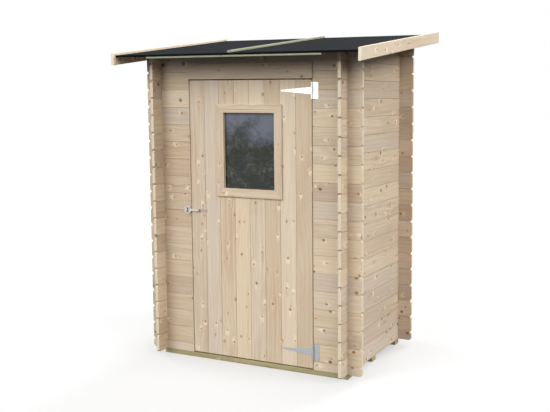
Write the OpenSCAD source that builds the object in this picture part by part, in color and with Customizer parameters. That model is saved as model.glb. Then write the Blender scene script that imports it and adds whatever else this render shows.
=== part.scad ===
// Tool shed of interlocking boards: notched crossing corners, one ledged door, a single-pitch felt roof.
// Millimetres, +Z up, the door faces -Y, the origin is under the middle of the outer box.

/* [Walls] */
// Outer width between the side walls' outer faces
wall_w = 1280; // [1150:10:1500]
// Outer depth between the front and back walls' outer faces
wall_d = 820; // [700:10:1000]
// Thickness of a wall board
board_t = 19; // [16:0.5:22]
// Height one board row covers
board_cover = 105.5; // [90:0.5:120]
// How far board ends stand past the crossing wall
board_project = 90; // [60:5:120]
// Length of the bevel on a board end's corners
end_bevel_len = 12; // [4:1:25]
// Height of the bevel on a board end's corners
end_bevel_h = 10; // [4:1:20]
// Play of a board in the halving it crosses
halving_play = 0.05; // [0.02:0.01:0.5]

/* [Base] */
// Height of a skid
skid_h = 29; // [20:1:60]
// Width of a skid
skid_w = 58; // [40:1:90]
// Distance of the middle skid's centre line behind the front wall's face
skid_mid_y = 390; // [300:5:450]
// Set-in of the rear skid from the back wall's outer face
skid_rear_in = 14; // [0:1:40]
// Thickness of the floor boards
floor_t = 19; // [14:1:22]

/* [Roof] */
// Height of the deck's underside at the front wall's outer face
eaves_h = 1885; // [1860:5:2050]
// Rise of the roof from front wall face to back wall face
roof_rise = 106; // [60:2:200]
// Bedding gap between pieces laid on the pitched deck or under it
bed_gap = 0.02; // [0.01:0.01:0.2]
// Overhang of the bargeboards in front
front_over = 223; // [150:1:300]
// Overhang of the bargeboards behind
rear_over = 212; // [140:1:300]
// Overhang of the bargeboards past each side wall
side_over = 182; // [130:1:260]
// Thickness of the roof boards
deck_t = 10; // [8:0.5:19]
// Thickness of the felt
felt_t = 2; // [1:0.5:4]
// How far the deck stops short of the bargeboard ends
deck_setback = 20; // [5:1:40]
// Thickness of a bargeboard
barge_t = 20; // [14:1:28]
// Upright height of a bargeboard
barge_h = 70.7; // [65:0.1:110]
// How far a bargeboard stands above the felt
barge_above = 13; // [4:1:20]
// Width of the batten over the felt seam
seam_w = 30; // [18:1:50]
// Thickness of the batten over the felt seam
seam_t = 12; // [8:1:20]
// Length of the batten under the front edge of the deck
front_batten_len = 1155; // [800:5:1300]
// Height of the batten under the front edge of the deck
front_batten_h = 12; // [8:1:25]
// Depth of the batten under the front edge of the deck
front_batten_d = 20; // [12:1:40]
// Width of a purlin
purlin_w = 36; // [25:1:50]
// Upright height of a purlin
purlin_h = 45; // [30:1:60]

/* [Door] */
// Width of the doorway
doorway_w = 843; // [740:1:900]
// Height of the doorway's head above the ground
doorway_top = 1726.5; // [1690:0.5:1760]
// Gap beside and over the door leaf
door_gap = 5.5; // [5.5:0.5:10]
// Gap between the skid and the door leaf
sill_gap = 8.5; // [5:0.5:12]
// Thickness of the door leaf
leaf_t = 19; // [16:0.5:22]
// How far the stops lap behind the leaf
stop_lap = 15; // [8:1:25]
// Width of a door post behind the wall
post_w = 40; // [25:1:60]
// Depth of a door post
post_d = 45; // [30:1:60]
// Height of a door ledge
ledge_h = 90; // [60:5:110]
// Thickness of a door ledge
ledge_t = 19; // [14:1:22]
// How far the cover board over the door stands proud
cover_t = 10; // [6:1:16]
// Height of the cover board over the door
cover_h = 95; // [60:5:95]

/* [Window] */
// Width of the glass opening
win_w = 346; // [240:2:400]
// Height of the glass opening
win_h = 452; // [350:2:500]
// Height of the glass opening's foot above the ground
win_z = 1077; // [1040:1:1110]
// Width of the window trim
trim_w = 51; // [30:1:56]
// Thickness of the window trim
trim_t = 10; // [6:1:14]
// Thickness of the glass
glass_t = 3; // [2:0.5:4]
// How far the glass lies behind the door's face
glass_set = 9.5; // [5:0.5:11]

/* [Hinges] */
// Reach of a hinge strap from its axis
strap_len = 203; // [140:1:240]
// Height of a strap at the barrel
strap_root_h = 42; // [30:1:50]
// Height of a strap at its tip
strap_tip_h = 7; // [5:0.5:15]
// Height of a wall plate
plate_h = 95; // [80:1:110]
// Reach of a wall plate from the axis
plate_w = 38; // [25:1:50]
// Thickness of the hinge metal
metal_t = 2.5; // [1.5:0.5:3]
// Diameter of a hinge barrel
barrel_d = 11; // [9:0.5:11]
// Diameter of a hinge pin
pin_d = 5; // [4:0.5:5]
// Radial play of a pin in its barrel
pin_play = 0.05; // [0.02:0.01:0.1]
// Height of the upper hinge's middle above the ground
upper_hinge_z = 1658.5; // [1630:0.5:1665]
// Height of the lower hinge's middle above the ground
lower_hinge_z = 138; // [125:1:220]

/* [Latch] */
// Height of the latch above the ground
latch_z = 931; // [850:1:960]
// Distance of the hasp's axis from the doorway's edge
hasp_in = 61; // [50:1:75]
// Distance of the staple from the hasp's axis
staple_reach = 80; // [76:1:95]
// Height of the hasp strap
hasp_h = 15; // [13:1:30]
// Diameter of the hasp's round end
hasp_end_d = 50; // [46:1:60]
// How far the staple stands off the wall
staple_out = 24; // [20:1:28]
// Diameter of the staple's rod
staple_rod = 5; // [3:0.5:5]

/* [Hidden] */
$fn = 64;
// Overrun of a cutting shape past the face that it cuts
e = 1;
h = board_cover;
hw = wall_w / 2;
slope = roof_rise / wall_d;
// Brings the middle of the bargeboards' length to Y = 0
y_shift = -(wall_d + rear_over - front_over) / 2;
// Lengths that reach well past the walls
reach = wall_w;
z_big = eaves_h + roof_rise + side_over;

// Roof
deck_hw = hw + side_over - barge_t;
deck_y0 = -front_over + deck_setback;
deck_y1 = wall_d + rear_over - deck_setback;
felt_z0 = deck_t + bed_gap;
felt_z1 = felt_z0 + felt_t;
purlin_ys = [wall_d / 3, wall_d * 2 / 3];
seam_set_front = 2;
seam_set_rear = 20;

// Doorway, floor and door
dw = doorway_w / 2;
leaf_hw = dw - door_gap;
leaf_z0 = skid_h + sill_gap;
leaf_z1 = doorway_top - door_gap;
floor_z = skid_h + floor_t;
// Room between the leaf's back and the floor's edge, and between its back and the stops
floor_gap = 6;
stop_gap = 5;
// The posts' rebate reaches this far past the doorway's side
rebate_side = 4;
stop_y = leaf_t + stop_gap;
stop_x = dw - stop_lap;
// The front wall is split at the row joint this far or more below the doorway's head
split_drop = 5;
split_z = skid_h + h / 2 + floor((doorway_top - split_drop - skid_h - h / 2) / h) * h;
ledge_gap = 7;
ledge_hw = stop_x - ledge_gap;
ledge_zs = [floor_z + 60, win_z - trim_w - 20 - ledge_h];
brace_w = 90;
brace_set = 20;

// Hinges
barrel_gap = 0.5;
knuckle_gap = 0.5;
hinge_x = dw - 1.5;
hinge_y = -barrel_d / 2 - barrel_gap;
knuckle_leaf = 8;
pin_head = 3;
pin_head_t = 1.5;

// Latch
hasp_x = -dw + hasp_in;
hasp_y = -7;
hasp_t = 2;
hasp_barrel_d = 8;
hasp_pin_d = 3;
// Half height of the strap's knuckle, and where the base's two knuckles start
hasp_knuckle = 3.5;
hasp_knuckle_base = 4;
hasp_base_len = 57;
slot_hw = 9;
slot_hh = 16;
staple_plate_hw = 14;
staple_plate_hh = 22;
staple_r = 11;
// Distance of the staple from the hasp's axis, with its play to the far side of the slot
slot_x = -staple_reach - 1;

function deck_z(y) = eaves_h + slope * y;

// Moves everything from the front wall's face to the shared origin
module place() {
  translate([0, y_shift, 0]) children();
}

// Extrudes a (Y, Z) shape along X
module along_x(x0, x1) {
  translate([x0, 0, 0]) rotate([90, 0, 90]) linear_extrude(height = x1 - x0) children();
}

// Extrudes an (X, Z) shape along Y
module along_y(y0, y1) {
  translate([0, y1, 0]) rotate([90, 0, 0]) linear_extrude(height = y1 - y0) children();
}

module box(x0, x1, y0, y1, z0, z1) {
  translate([x0, y0, z0]) cube([x1 - x0, y1 - y0, z1 - z0]);
}

// A strip that follows the roof's pitch, with upright ends, o0 and o1 above the deck's underside
module pitched(y0, y1, o0, o1) {
  polygon([[y0, deck_z(y0) + o0], [y1, deck_z(y1) + o0], [y1, deck_z(y1) + o1], [y0, deck_z(y0) + o1]]);
}

module above_roof() {
  along_x(-hw - reach, hw + reach)
    polygon([[-reach, deck_z(-reach) - bed_gap], [wall_d + reach, deck_z(wall_d + reach) - bed_gap],
      [wall_d + reach, z_big + reach], [-reach, z_big + reach]]);
}

// Bevels on a column of board ends at u, pointing inwards by dir; phase is the first joint in rows
module end_bevels(u, dir, phase) {
  for (k = [-1:ceil((z_big - skid_h) / h)]) {
    zj = skid_h + (phase + k) * h;
    if (zj > skid_h - 1)
      polygon([[u + dir * -e, zj - end_bevel_h * (1 + e / end_bevel_len)],
        [u + dir * -e, zj + end_bevel_h * (1 + e / end_bevel_len)], [u + dir * end_bevel_len, zj]]);
  }
  polygon([[u + dir * -e, skid_h - e], [u + dir * -e, skid_h + end_bevel_h],
    [u, skid_h + end_bevel_h], [u + dir * end_bevel_len, skid_h], [u + dir * end_bevel_len, skid_h - e]]);
}

// Halvings that let the crossing wall's boards through, between u0 and u1
module halvings(u0, u1, first) {
  for (k = [-1:ceil((z_big - skid_h) / h)])
    translate([u0 - halving_play, skid_h + (first + k) * h - halving_play])
      square([u1 - u0 + 2 * halving_play, h / 2 + 2 * halving_play]);
}

// Whole front or back wall in (X, Z), its rows starting with half a board
module long_wall_shape() {
  difference() {
    translate([-hw - board_project, skid_h]) square([wall_w + 2 * board_project, z_big - skid_h]);
    for (s = [-1, 1]) {
      halvings(s < 0 ? -hw : hw - board_t, s < 0 ? -hw + board_t : hw, 0.25);
      end_bevels(s * (hw + board_project), -s, 0.5);
    }
  }
}

module long_wall(y0) {
  difference() {
    along_y(y0, y0 + board_t) long_wall_shape();
    above_roof();
  }
}

// A side wall, its rows starting with a whole board
module side_wall(x0) {
  along_x(x0, x0 + board_t) difference() {
    translate([-board_project, skid_h]) square([wall_d + 2 * board_project, z_big - skid_h]);
    halvings(0, board_t, 0.75);
    halvings(wall_d - board_t, wall_d, 0.75);
    end_bevels(-board_project, 1, 0);
    end_bevels(wall_d + board_project, -1, 0);
    pitched(-reach, wall_d + reach, -bed_gap, reach);
    for (y = purlin_ys) pitched(y - purlin_w / 2, y + purlin_w / 2, -purlin_h - 2 * bed_gap, 1);
  }
}

module skid(y) {
  place() box(-hw, hw, y - skid_w / 2, y + skid_w / 2, 0, skid_h);
}
module skid_front() { color("darkkhaki") skid(skid_w / 2); }
module skid_middle() { color("darkkhaki") skid(skid_mid_y); }
module skid_rear() { color("darkkhaki") skid(wall_d - skid_rear_in - skid_w / 2); }
module floor_boards() {
  color("burlywood") place()
    box(-hw + board_t, hw - board_t, leaf_t + floor_gap, wall_d - board_t, skid_h, floor_z);
}

module front_wall_side(s) {
  place() intersection() {
    long_wall(0);
    box(s < 0 ? -hw - reach : dw, s < 0 ? -dw : hw + reach, -e, board_t + e, 0, split_z);
  }
}
module front_wall_left() { color("wheat") front_wall_side(-1); }
module front_wall_right() { color("wheat") front_wall_side(1); }
module front_wall_over_door() {
  color("wheat") place() difference() {
    long_wall(0);
    box(-hw - reach, hw + reach, -e, board_t + e, 0, split_z);
    box(-dw, dw, -e, board_t + e, 0, doorway_top);
  }
}
module left_wall() { color("wheat") place() side_wall(-hw); }
module right_wall() { color("wheat") place() side_wall(hw - board_t); }
module back_wall() { color("wheat") place() long_wall(wall_d - board_t); }

module door_cover_board() {
  color("burlywood") place() box(-dw, dw, -cover_t, 0, doorway_top, doorway_top + cover_h);
}

// A post with a rebate, so that the leaf's back stays clear of it
module door_post(s) {
  color("burlywood") place() {
    x0 = s < 0 ? -dw - post_w : stop_x;
    x1 = s < 0 ? -stop_x : dw + post_w;
    difference() {
      box(x0, x1, board_t, board_t + post_d, floor_z, doorway_top);
      box(s < 0 ? -dw - rebate_side : stop_x - e, s < 0 ? -stop_x + e : dw + rebate_side,
        board_t - e, stop_y, floor_z - e, doorway_top + e);
    }
  }
}
module door_post_left() { door_post(-1); }
module door_post_right() { door_post(1); }
module door_head_stop() {
  color("burlywood") place()
    box(-dw - post_w, dw + post_w, board_t, board_t + post_d, doorway_top, doorway_top + post_d);
}

module purlin(y) {
  color("burlywood") place() along_x(-deck_hw, deck_hw)
    pitched(y - purlin_w / 2, y + purlin_w / 2, -purlin_h - bed_gap, -bed_gap);
}
module purlin_front() { purlin(purlin_ys[0]); }
module purlin_rear() { purlin(purlin_ys[1]); }
module roof_deck() { color("wheat") place() along_x(-deck_hw, deck_hw) pitched(deck_y0, deck_y1, 0, deck_t); }

// A felt strip with its front edge folded down over the deck's edge
module felt(x0, x1) {
  color("dimgray") place() along_x(x0, x1) {
    pitched(deck_y0 - felt_t - bed_gap, deck_y1, felt_z0, felt_z1);
    pitched(deck_y0 - felt_t - bed_gap, deck_y0 - bed_gap, 0, felt_z1);
  }
}
module felt_left() { felt(-deck_hw, 0); }
module felt_right() { felt(0, deck_hw); }

module bargeboard(x0) {
  top = felt_z1 + barge_above;
  color("cornsilk") place() along_x(x0, x0 + barge_t)
    pitched(-front_over, wall_d + rear_over, top - barge_h, top);
}
module bargeboard_left() { bargeboard(-deck_hw - barge_t); }
module bargeboard_right() { bargeboard(deck_hw); }
module seam_batten() {
  top = felt_z1 + bed_gap;
  color("darkkhaki") place() along_x(-seam_w / 2, seam_w / 2)
    pitched(deck_y0 + seam_set_front, deck_y1 - seam_set_rear, top, top + seam_t);
}
module front_batten() {
  color("darkkhaki") place() along_x(-front_batten_len / 2, front_batten_len / 2)
    pitched(deck_y0, deck_y0 + front_batten_d, -front_batten_h - bed_gap, -bed_gap);
}

module door_leaf() {
  color("wheat") place() difference() {
    box(-leaf_hw, leaf_hw, 0, leaf_t, leaf_z0, leaf_z1);
    box(-win_w / 2, win_w / 2, -e, leaf_t + e, win_z, win_z + win_h);
  }
}
module door_ledges() {
  color("burlywood") place() {
    for (z = ledge_zs) box(-ledge_hw, ledge_hw, leaf_t, leaf_t + ledge_t, z, z + ledge_h);
  }
}
module door_brace() {
  z0 = ledge_zs[0] + ledge_h;
  z1 = ledge_zs[1];
  x = ledge_hw - brace_set;
  color("burlywood") place() along_y(leaf_t, leaf_t + ledge_t)
    polygon([[x, z0], [x - brace_w, z0], [-x, z1], [-x + brace_w, z1]]);
}
module window_trim(y0, y1) {
  color("burlywood") place() difference() {
    box(-win_w / 2 - trim_w, win_w / 2 + trim_w, y0, y1, win_z - trim_w, win_z + win_h + trim_w);
    box(-win_w / 2, win_w / 2, y0 - e, y1 + e, win_z, win_z + win_h);
  }
}
module window_trim_outer() { window_trim(-trim_t, 0); }
module window_trim_inner() { window_trim(leaf_t, leaf_t + trim_t); }
module window_glass() {
  color("slategray") place()
    box(-win_w / 2, win_w / 2, glass_set, glass_set + glass_t, win_z, win_z + win_h);
}

// Upright cylinder on a hinge axis
module rod(x, y, d, z0, z1) {
  translate([x, y, z0]) cylinder(d = d, h = z1 - z0);
}

module hinge_strap(z) {
  r = strap_root_h / 2;
  t = strap_tip_h / 2;
  color("silver") place() difference() {
    union() {
      rod(hinge_x, hinge_y, barrel_d, z - r, z + r);
      along_y(-metal_t, 0) polygon([[hinge_x, z - r], [hinge_x, z + r],
        [hinge_x - strap_len, z + t], [hinge_x - strap_len, z - t]]);
    }
    rod(hinge_x, hinge_y, pin_d + 2 * pin_play, z - r - e, z + r + e);
  }
}
module hinge_plate(z) {
  r = strap_root_h / 2 + knuckle_gap;
  p = plate_h / 2;
  color("silver") place() difference() {
    union() {
      for (s = [-1, 1]) {
        z0 = z + (s < 0 ? -p : r);
        z1 = z + (s < 0 ? -r : p);
        rod(hinge_x, hinge_y, barrel_d, z0, z1);
        box(hinge_x, hinge_x + knuckle_leaf, -metal_t, 0, z0, z1);
      }
      box(hinge_x + knuckle_leaf - e, hinge_x + plate_w, -metal_t, 0, z - p, z + p);
    }
    rod(hinge_x, hinge_y, pin_d + 2 * pin_play, z - p - e, z + p + e);
  }
}
module hinge_pin(z) {
  p = plate_h / 2;
  color("gray") place() {
    rod(hinge_x, hinge_y, pin_d, z - p, z + p);
    rod(hinge_x, hinge_y, pin_d + pin_head, z + p, z + p + pin_head_t);
    rod(hinge_x, hinge_y, pin_d + pin_head, z - p - pin_head_t, z - p);
  }
}
module upper_hinge_plate() { hinge_plate(upper_hinge_z); }
module upper_hinge_strap() { hinge_strap(upper_hinge_z); }
module upper_hinge_pin() { hinge_pin(upper_hinge_z); }
module lower_hinge_plate() { hinge_plate(lower_hinge_z); }
module lower_hinge_strap() { hinge_strap(lower_hinge_z); }
module lower_hinge_pin() { hinge_pin(lower_hinge_z); }

// Plate and bent rod; the rod's hoop stands upright so that the hasp's slot passes over it
module latch_staple() {
  x = hasp_x - staple_reach;
  r = staple_r - staple_rod / 2;
  color("silver") place() {
    box(x - staple_plate_hw, x + staple_plate_hw, -2, 0, latch_z - staple_plate_hh, latch_z + staple_plate_hh);
    for (s = [-1, 1])
      translate([x, -1, latch_z + s * r]) rotate([90, 0, 0])
        cylinder(d = staple_rod, h = staple_out - staple_r - e);
    translate([x, -staple_out + staple_r, latch_z]) rotate([0, 90, 0]) rotate([0, 0, 180])
      rotate_extrude(angle = 180) translate([r, 0]) circle(d = staple_rod);
  }
}
module hasp_bore() {
  rod(hasp_x, hasp_y, hasp_pin_d + 2 * pin_play, latch_z - hasp_h, latch_z + hasp_h);
}
module hasp_base() {
  color("silver") place() difference() {
    union() {
      for (s = [-1, 1]) {
        z0 = latch_z + (s < 0 ? -hasp_h / 2 : hasp_knuckle_base);
        z1 = latch_z + (s < 0 ? -hasp_knuckle_base : hasp_h / 2);
        rod(hasp_x, hasp_y, hasp_barrel_d, z0, z1);
        box(hasp_x + 1, hasp_x + 4, hasp_y, 0, z0, z1);
      }
      box(hasp_x + 1, hasp_x + hasp_base_len, -2, 0, latch_z - hasp_h / 2, latch_z + hasp_h / 2);
    }
    hasp_bore();
  }
}
// Narrow strap with one knuckle, and a round end with the slot for the staple
module hasp_strap() {
  z0 = latch_z - hasp_knuckle;
  z1 = latch_z + hasp_knuckle;
  color("silver") place() difference() {
    union() {
      rod(hasp_x, hasp_y, hasp_barrel_d, z0, z1);
      box(hasp_x - 8, hasp_x, hasp_y - hasp_t, hasp_y, z0, z1);
      box(hasp_x + slot_x, hasp_x - 7, hasp_y - hasp_t, hasp_y, latch_z - hasp_h / 2, latch_z + hasp_h / 2);
      along_y(hasp_y - hasp_t, hasp_y) translate([hasp_x + slot_x, latch_z]) circle(d = hasp_end_d);
    }
    box(hasp_x + slot_x - slot_hw, hasp_x + slot_x + slot_hw, -staple_out, 0, latch_z - slot_hh, latch_z + slot_hh);
    hasp_bore();
  }
}
module hasp_pin() {
  color("gray") place() rod(hasp_x, hasp_y, hasp_pin_d, latch_z - hasp_h / 2, latch_z + hasp_h / 2);
}

skid_front();
skid_middle();
skid_rear();
floor_boards();
front_wall_left();
front_wall_right();
front_wall_over_door();
left_wall();
right_wall();
back_wall();
door_cover_board();
door_post_left();
door_post_right();
door_head_stop();
purlin_front();
purlin_rear();
roof_deck();
felt_left();
felt_right();
bargeboard_left();
bargeboard_right();
seam_batten();
front_batten();
door_leaf();
door_ledges();
door_brace();
window_trim_outer();
window_trim_inner();
window_glass();
upper_hinge_plate();
upper_hinge_strap();
upper_hinge_pin();
lower_hinge_plate();
lower_hinge_strap();
lower_hinge_pin();
latch_staple();
hasp_base();
hasp_strap();
hasp_pin();
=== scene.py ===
import functools
import math
import random

import bmesh
import bpy
from bpy.props import FloatProperty, FloatVectorProperty, IntProperty, PointerProperty
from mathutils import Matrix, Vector, noise


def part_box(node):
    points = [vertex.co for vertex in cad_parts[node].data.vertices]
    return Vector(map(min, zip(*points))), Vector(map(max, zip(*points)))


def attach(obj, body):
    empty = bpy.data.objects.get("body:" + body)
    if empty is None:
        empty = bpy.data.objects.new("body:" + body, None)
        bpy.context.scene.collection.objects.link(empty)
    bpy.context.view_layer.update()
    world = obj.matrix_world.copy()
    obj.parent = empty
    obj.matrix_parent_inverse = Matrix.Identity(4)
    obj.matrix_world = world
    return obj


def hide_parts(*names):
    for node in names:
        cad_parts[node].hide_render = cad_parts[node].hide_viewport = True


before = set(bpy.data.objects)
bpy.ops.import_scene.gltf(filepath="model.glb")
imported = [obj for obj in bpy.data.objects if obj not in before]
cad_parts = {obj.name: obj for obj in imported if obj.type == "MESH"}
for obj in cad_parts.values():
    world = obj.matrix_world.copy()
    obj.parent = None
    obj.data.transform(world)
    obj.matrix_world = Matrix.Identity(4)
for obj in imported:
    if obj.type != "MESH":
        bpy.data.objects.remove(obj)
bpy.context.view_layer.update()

bl_info = {
    "name": "Tool shed",
    "version": (1, 0, 0),
    "blender": (4, 5, 0),
    "location": "3D View > Sidebar > Shed",
    "description": "Dresses the tool shed's frame with boards, felt, fittings and finishes",
    "category": "Object",
}


def span(node):
    """Lowest and highest corner of a frame node."""
    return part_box(node)


LEFT, BACK = span("left_wall"), span("back_wall")
FRONT, OVER = span("front_wall_left"), span("front_wall_over_door")
DECK, LEAF, GLASS = span("roof_deck"), span("door_leaf"), span("window_glass")
HALF_W = -LEFT[0].x
BOARD_T = LEFT[1].x - LEFT[0].x
FRONT_Y = FRONT[0].y
BACK_Y = BACK[1].y
BASE_Z = span("skid_front")[1].z
DOOR_HALF = -FRONT[1].x
DOOR_TOP = span("door_cover_board")[0].z
PURLINS = ("purlin_front", "purlin_rear")

# lengths in metres
BEDDING = 0.00002       # play between pieces that rest on each other
WELD = 2e-6             # a board's corners nearer than this are one
LEAST_BOARD = 0.001     # a wall board lower than this is left out
THIN_END = 0.0004       # lowest that a wall board tapers to
FELT_FOLD = 0.0022      # radius of the felt's bend over the front edge
FELT_SAG = 0.0011       # most that the felt lies lower than flat
METAL = 0.0025          # thickness of the hasp, the staple's plate and the hinge straps
HINGE_PLATE = 0.003     # thickness
STRAP_GAP = 0.0005      # between a hinge strap and the door
SCREW_RISE = 0.0016
NAIL_RISE = 0.0006
CLOUT_RISE = 0.0008
NAIL_PLAY = 0.00005     # a door nail's head stands this far off the board
CLOUT_BED = 0.0002      # a clout's head sinks this far into the felt
SCREW_INSET = 0.011     # hinge plate's screws from its edge
CLOUT_INSET = 0.012     # outer clouts from the felt's edge
EDGE_NAIL = 0.04        # first nail of a batten or bargeboard from its end
CLOUT_END = 0.02        # first clout from the roof's front or back
NAIL_SPLAY = 0.022      # a door nail from its board's middle
DECK_NAIL = 0.005       # height of a bargeboard's nail into the deck
PURLIN_NAILS = (-0.012, -0.034)     # heights of its nails into a purlin
SKY_REFLECTION_FOOT = 0.26        # the painted sky reflection starts this far up the pane
SKY_REFLECTION_HEAD = 0.04        # and is full this far under its top

# where screws and nails lie, as shares of the way between a piece's ends
STRAP_SCREWS = (0.18, 0.42, 0.66, 0.88)
PLATE_SCREWS = (0.12, 0.5, 0.88)
HASP_SCREWS = (0.45, 0.8)
STAPLE_SCREWS = (0.10, 0.90)
LEDGE_NAILS = ((-NAIL_SPLAY, 0.3), (NAIL_SPLAY, 0.7))   # each with its distance aside

OUT = (0, -1, 0)        # out of the front
CLOUTS = 22             # along each side of the roof
BATTEN_NAILS = 9
FOLD_STEPS = 4
FELT_ROWS = 90
FELT_COLUMNS = 70
BIG_NAIL = 1.3          # size of a roof nail's head to a door nail's

# each group of boards: the seed of its grain and tones, its boards' chamfer (None for the size that
# is set), and how dark the joints between them are, from 0 to 1
GROUPS = {
    "skids": (11, 0.0025, 0.0),
    "floor": (12, 0.0015, 0.0),
    "front_boards": (30127, None, 0.36),
    "back_boards": (22, None, 0.36),
    "left_boards": (23, None, 0.50),
    "right_boards": (34111, None, 0.50),
    "cover_board": (31, 0.002, 0.0),
    "deck": (41, 0.0012, 0.60),
    "purlins": (42, 0.0025, 0.0),
    "bargeboard_left": (43, 0.002, 0.0),
    "bargeboard_right": (44, 0.002, 0.0),
    "battens": (45, 0.0015, 0.0),
    "door": (45086, 0.0018, 0.22),
    "ledges": (52, 0.002, 0.0),
    "window_trim_outer": (15694, 0.0016, 0.0),
    "window_trim_inner": (54, 0.0016, 0.0),
}
FELT_SEEDS = {"felt_left": 46, "felt_right": 47}


# ---------------------------------------------------------------- settings

def length(name, text, value, least):
    return FloatProperty(name=name, description=text, default=value, min=least, unit="LENGTH")


def colour(name, text, value):
    return FloatVectorProperty(name=name, description=text, default=value, subtype="COLOR", size=3,
                               min=0.0, max=1.0)


class ShedSizes(bpy.types.PropertyGroup):
    """Sizes of what the frame leaves to the dressing."""
    board_cover: length("Board cover", "Height one wall row covers", 0.1055, 0.05)
    deck_thickness: length("Deck thickness", "Thickness of the roof boards", 0.010, 0.005)
    end_bevel_length: length("End bevel length", "Bevel on a wall board's end, along it", 0.012, 0.001)
    end_bevel_height: length("End bevel height", "Bevel on a wall board's end, up it", 0.010, 0.001)
    edge_chamfer: length("Edge chamfer", "Chamfer along a wall board's edges", 0.0015, 0.0002)
    purlin_height: length("Purlin height", "Upright height of a purlin", 0.045, 0.02)
    door_boards: IntProperty(name="Door boards", description="Boards across the door", default=8, min=2)
    floor_board: length("Floor board", "Width of a floor board", 0.0955, 0.05)
    deck_board: length("Deck board", "Width of a roof board", 0.0891, 0.05)
    screw_radius: length("Screw head radius", "Radius of a fitting's screw head", 0.0034, 0.001)
    nail_radius: length("Nail head radius", "Radius of a board's nail head", 0.0016, 0.0005)
    clout_radius: length("Clout head radius", "Radius of a felt clout's head", 0.0042, 0.001)


class ShedColours(bpy.types.PropertyGroup):
    """Base colours of the finishes."""
    spruce_light: colour("Spruce light", "Early wood of the wall boards", (0.690, 0.575, 0.436))
    spruce_dark: colour("Spruce dark", "Late wood of the wall boards", (0.465, 0.350, 0.240))
    spruce_pink: colour("Spruce pink", "Warmest wall boards", (0.600, 0.472, 0.350))
    spruce_grey: colour("Spruce grey", "Greyest wall boards", (0.565, 0.492, 0.415))
    spruce_gold: colour("Spruce gold", "Yellowest wall boards", (0.655, 0.540, 0.365))
    resin: colour("Resin", "Reddish streaks beside knots", (0.47, 0.25, 0.13))
    # painted shade: the roof boards' near-black stands in for the deep shade under the roof
    shade_painted_roof_boards: colour("Roof boards", "Dark preservative on the roof boards", (0.014, 0.012, 0.010))
    knot: colour("Knot", "Heart of a knot", (0.13, 0.066, 0.036))
    cream: colour("Cream", "Planed bargeboards", (0.80, 0.70, 0.54))
    treated_light: colour("Treated light", "Pressure-treated wood", (0.44, 0.385, 0.205))
    treated_dark: colour("Treated dark", "Late wood of treated pieces", (0.26, 0.22, 0.115))
    batten_light: colour("Batten light", "Green-treated battens", (0.335, 0.345, 0.240))
    batten_dark: colour("Batten dark", "Late wood of the battens", (0.210, 0.215, 0.145))
    felt: colour("Felt", "Mineral roof felt", (0.0055, 0.0068, 0.0088))
    # painted highlight: this near-white stands in for the sky's reflection on the upper hinge, the same
    # zinc as the lower one
    zinc: colour("Zinc", "Bright galvanized fittings", (0.97, 0.97, 0.96))
    dull_zinc: colour("Dull zinc", "Weathered galvanized fittings", (0.455, 0.472, 0.492))
    # a paler grey copy of the galvanized steel, for the hasp's strap
    strap_zinc: colour("Worn zinc", "Galvanized strap of the hasp", (0.57, 0.55, 0.52))
    # painted reflection: the purple tint in this grey stands in for reflections on the hasp's galvanized
    # base
    reflection_tinted_zinc: colour("Aged zinc", "Galvanized base of the hasp", (0.385, 0.325, 0.320))
    glass: colour("Glass", "Tint of the pane", (0.043, 0.049, 0.034))
    # painted reflection: the pale blue-grey over the pane's upper part stands in for the sky reflected in
    # the glass
    pane_sky_reflection: colour("Pane film", "Dust on the pane's upper part", (0.165, 0.178, 0.225))
    # painted reflection: the green over the pane's lower part stands in for trees reflected in the glass
    pane_tree_reflection: colour("Pane bloom", "Green bloom on the pane's lower part", (0.150, 0.170, 0.105))


def sizes():
    return bpy.context.scene.shed_sizes


def colours():
    return bpy.context.scene.shed_colours


# ---------------------------------------------------------------- node helpers

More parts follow.
